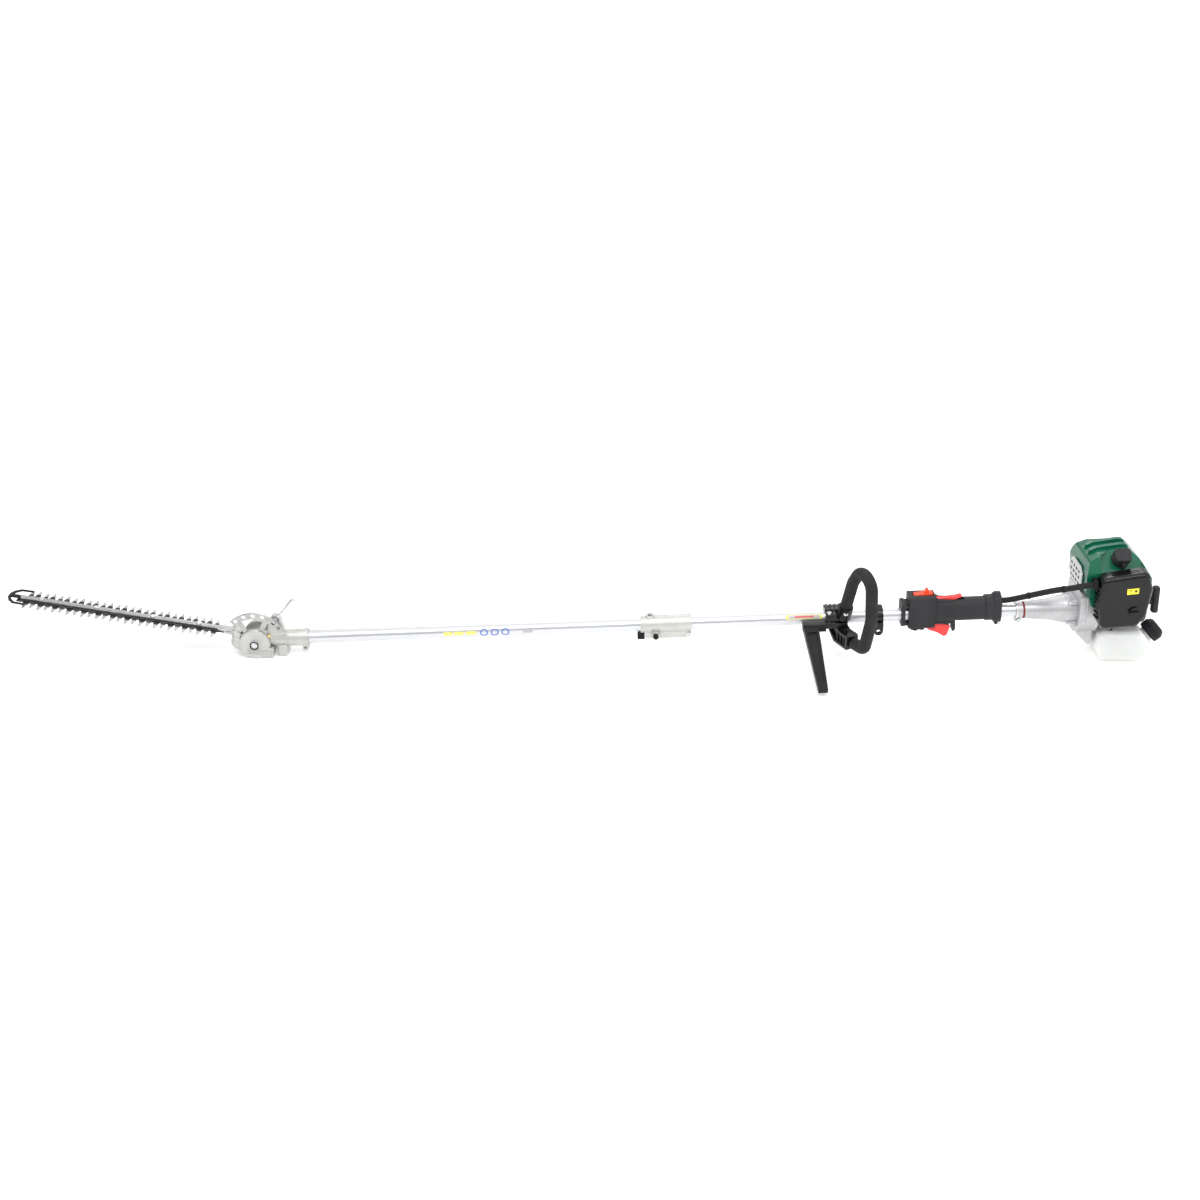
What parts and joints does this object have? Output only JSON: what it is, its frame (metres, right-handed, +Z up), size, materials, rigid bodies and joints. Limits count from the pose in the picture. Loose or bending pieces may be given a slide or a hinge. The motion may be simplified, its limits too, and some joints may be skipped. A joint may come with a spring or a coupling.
{
  "type": "pole hedge trimmer",
  "caption": "Petrol pole hedge trimmer: tilting double-sided cutter head on a two-piece shaft with loop handle, rear grip and engine.",
  "frame": {"origin": "on the ground plane, on the tank's flat foot, below the engine's shaft axis", "axes": "+X from the blade tip towards the engine, along the ground; +Z up; -Y towards the side with the air filter and the barrier bar"},
  "size_m": [2.2575, 0.2632, 0.2435],
  "materials": {
    "blade_steel": "black coating with ground bright edges",
    "bar_steel": "bright zinc-plated steel",
    "fastener_steel": "zinc-plated steel",
    "black_plastic": "moulded black nylon",
    "case_alloy": "as-cast aluminium, light grey",
    "engine_alloy": "as-cast aluminium, mid grey",
    "tube_alloy": "drawn, polished silver",
    "shaft_steel": "oiled machined steel",
    "gear_steel": "greased hardened steel",
    "handle_rubber": "soft dark grey grip",
    "gloss_black": "glossy black moulding",
    "grip_plastic": "mid-dark grey textured moulding",
    "red_plastic": "red moulding",
    "switch_plastic": "orange-red moulding",
    "sleeve_plastic": "black corrugated sleeve",
    "cover_green": "very dark green moulding",
    "shroud_metal": "bright pressed plate",
    "muffler_steel": "heat-stained pressed steel",
    "plug_ceramic": "white ceramic and plated steel",
    "primer_rubber": "soft clear-amber bulb",
    "foam": "open-cell filter foam",
    "tank_plastic": "translucent natural polyethylene"
  },
  "bodies": {
    "power_unit": {"coupler_body": "case_alloy", "coupler_stop": "black_plastic", "upper_tube": "tube_alloy", "loop_handle": "handle_rubber", "handle_bracket": "gloss_black", "handle_clamp_cap": "gloss_black", "barrier_bar": "black_plastic", "hanger_clamp": "black_plastic", "grip_left": "grip_plastic", "grip_right": "grip_plastic", "cable_sleeve": "sleeve_plastic", "clutch_housing": "case_alloy", "main_bearings": "shaft_steel", "piston_and_rod": "engine_alloy", "crankcase": "engine_alloy", "cylinder": "engine_alloy", "spark_plug": "plug_ceramic", "plug_cap": "black_plastic", "fan_housing": "engine_alloy", "engine_cover": "cover_green", "front_shroud": "shroud_metal", "muffler": "muffler_steel", "carburettor": "engine_alloy", "filter_base": "black_plastic", "filter_element": "foam", "starter_housing": "black_plastic", "fuel_line": "sleeve_plastic", "frame_screws": "fastener_steel", "fuel_tank": "tank_plastic"},
    "attachment": {"lower_tube": "tube_alloy", "pivot_housing": "case_alloy"},
    "lower_drive": {"lower_drive_shaft": "shaft_steel"},
    "idler": {"pivot_gear": "gear_steel"},
    "head": {"blade_gearcase": "case_alloy", "blade_cover": "case_alloy", "quadrant_plate": "bar_steel", "head_bolts": "fastener_steel", "guide_bar": "bar_steel", "tip_guard": "black_plastic"},
    "output_drive": {"output_pinion": "gear_steel"},
    "blade_crank": {"crank_gear": "gear_steel"},
    "top_blade": {"upper_blade": "blade_steel"},
    "bottom_blade": {"lower_blade": "blade_steel"},
    "latch": {"lock_lever": "fastener_steel"},
    "upper_drive": {"upper_drive_shaft": "shaft_steel", "clutch_drum": "shaft_steel"},
    "engine_crank": {"crankshaft": "shaft_steel", "flywheel_and_clutch": "shaft_steel"},
    "trigger": {"throttle_trigger": "red_plastic"},
    "lockout": {"lockout_lever": "red_plastic"},
    "switch": {"stop_switch": "switch_plastic"},
    "choke": {"choke_lever": "black_plastic"},
    "primer": {"primer_bulb": "primer_rubber"},
    "filter_lid": {"filter_cover": "gloss_black"},
    "lid_knob": {"filter_knob": "black_plastic"},
    "tank_cap": {"fuel_cap": "black_plastic"},
    "pull_handle": {"starter_handle": "black_plastic"},
    "rope_pulley": {"starter_pulley": "black_plastic"},
    "clamp_knob": {"coupler_knob": "black_plastic"},
    "tube_button": {"lock_button": "shaft_steel"}
  },
  "joints": [
    {"name": "attachment_slide", "type": "slide", "parent": "power_unit", "child": "attachment", "axis": [-0.9991, 0, -0.042], "range_m": [0, 0.045]},
    {"name": "drive_spin", "type": "hinge", "parent": "power_unit", "child": "upper_drive", "pos_m": [-0.49956, 0, 0.07902], "axis": [0.9991, 0, 0.042], "continuous": true},
    {"name": "lower_drive_spin", "type": "hinge", "parent": "attachment", "child": "lower_drive", "pos_m": [-1.19894, 0, 0.04965], "axis": [0.9991, 0, 0.042], "continuous": true},
    {"name": "idler_spin", "type": "hinge", "parent": "attachment", "child": "idler", "pos_m": [-1.67053, 0, 0.02984], "axis": [0, 1, 0], "continuous": true},
    {"name": "head_tilt", "type": "hinge", "parent": "attachment", "child": "head", "pos_m": [-1.67053, 0, 0.02984], "axis": [0, 1, 0], "range_deg": [-12.3, 77.7]},
    {"name": "output_spin", "type": "hinge", "parent": "head", "child": "output_drive", "pos_m": [-1.69023, 0, 0.03327], "axis": [0.9851, 0, -0.1718], "continuous": true},
    {"name": "crank_spin", "type": "hinge", "parent": "head", "child": "blade_crank", "pos_m": [-1.70402, 0, 0.03568], "axis": [0.1718, 0, 0.9851], "continuous": true},
    {"name": "top_blade_slide", "type": "slide", "parent": "head", "child": "top_blade", "axis": [0.9851, 0, -0.1718], "range_m": [-0.008, 0.008]},
    {"name": "bottom_blade_slide", "type": "slide", "parent": "head", "child": "bottom_blade", "axis": [0.9851, 0, -0.1718], "range_m": [-0.008, 0.008]},
    {"name": "latch_rock", "type": "hinge", "parent": "attachment", "child": "latch", "pos_m": [-1.62406, -0.0105, 0.08219], "axis": [-0.7479, 0, 0.6639], "range_deg": [0, 12]},
    {"name": "engine_spin", "type": "hinge", "parent": "power_unit", "child": "engine_crank", "pos_m": [0, 0, 0.1], "axis": [0.9991, 0, 0.042], "continuous": true},
    {"name": "trigger_pull", "type": "hinge", "parent": "power_unit", "child": "trigger", "pos_m": [-0.34781, 0, 0.06437], "axis": [0, -1, 0], "range_deg": [0, 14], "stiffness_Nm_per_rad": 0.6},
    {"name": "lockout_press", "type": "hinge", "parent": "power_unit", "child": "lockout", "pos_m": [-0.33888, 0, 0.11379], "axis": [0, 1, 0], "range_deg": [0, 6], "stiffness_Nm_per_rad": 0.5},
    {"name": "switch_rock", "type": "hinge", "parent": "power_unit", "child": "switch", "pos_m": [-0.36232, 0, 0.12382], "axis": [0, 1, 0], "range_deg": [0, 10]},
    {"name": "choke_turn", "type": "hinge", "parent": "power_unit", "child": "choke", "pos_m": [0.03154, -0.065, 0.15938], "axis": [0, -1, 0], "range_deg": [0, 25]},
    {"name": "primer_press", "type": "slide", "parent": "power_unit", "child": "primer", "axis": [-0.042, 0, 0.9991], "range_m": [0, 0.0028], "stiffness_N_per_m": 800},
    {"name": "filter_lid_slide", "type": "slide", "parent": "power_unit", "child": "filter_lid", "axis": [0, -1, 0], "range_m": [0, 0.04]},
    {"name": "lid_knob_turn", "type": "hinge", "parent": "filter_lid", "child": "lid_knob", "pos_m": [0.0186, -0.1, 0.13381], "axis": [0, 1, 0], "range_deg": [0, 720]},
    {"name": "fuel_cap_turn", "type": "hinge", "parent": "power_unit", "child": "tank_cap", "pos_m": [0.08, -0.012, 0.047], "axis": [0.7431, 0, 0.6691], "range_deg": [0, 540]},
    {"name": "starter_pull", "type": "slide", "parent": "power_unit", "child": "pull_handle", "axis": [0.9991, 0, 0.042], "range_m": [0, 0.6], "stiffness_N_per_m": 20},
    {"name": "pulley_spin", "type": "hinge", "parent": "power_unit", "child": "rope_pulley", "pos_m": [0.05595, 0, 0.10235], "axis": [0.9991, 0, 0.042], "range_deg": [0, 1700]},
    {"name": "clamp_knob_turn", "type": "hinge", "parent": "power_unit", "child": "clamp_knob", "pos_m": [-0.88342, 0, 0.04388], "axis": [0, 1, 0], "range_deg": [0, 360]},
    {"name": "tube_button_lift", "type": "slide", "parent": "power_unit", "child": "tube_button", "axis": [-0.042, 0, 0.9991], "range_m": [0, 0.004], "stiffness_N_per_m": 600}
  ],
  "couplings": [
    {"joint": "lower_drive_spin", "follows": "drive_spin", "ratio": 1},
    {"joint": "idler_spin", "follows": "drive_spin", "ratio": 0.5},
    {"joint": "output_spin", "follows": "drive_spin", "ratio": -1},
    {"joint": "crank_spin", "follows": "drive_spin", "ratio": -0.5},
    {"joint": "bottom_blade_slide", "follows": "top_blade_slide", "ratio": -1},
    {"joint": "pulley_spin", "follows": "starter_pull", "rad_per_m": 47.8}
  ]
}
